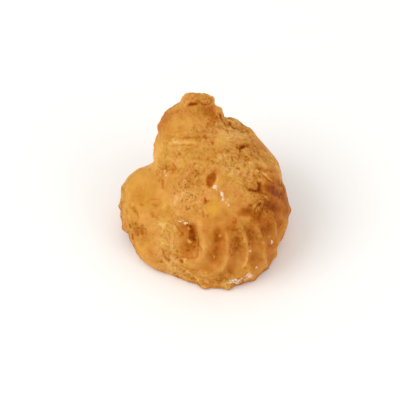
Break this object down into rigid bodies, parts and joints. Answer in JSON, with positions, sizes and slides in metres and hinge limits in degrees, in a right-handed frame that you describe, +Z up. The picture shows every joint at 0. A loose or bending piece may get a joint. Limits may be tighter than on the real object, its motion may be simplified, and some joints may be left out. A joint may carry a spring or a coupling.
{
  "type": "cream puff",
  "caption": "Choux bun piped with a star nozzle, browned and split, with a leaning peak, resting on its flat underside.",
  "frame": {"origin": "middle of the flat underside, on the table", "axes": "+Z up; -Y out of the side with the piped ridges; +X to the right of someone facing that side"},
  "size_m": [0.0735, 0.07, 0.0568],
  "materials": {
    "crust": "satin"
  },
  "bodies": {
    "root": {"puff": "crust"}
  },
  "joints": []
}
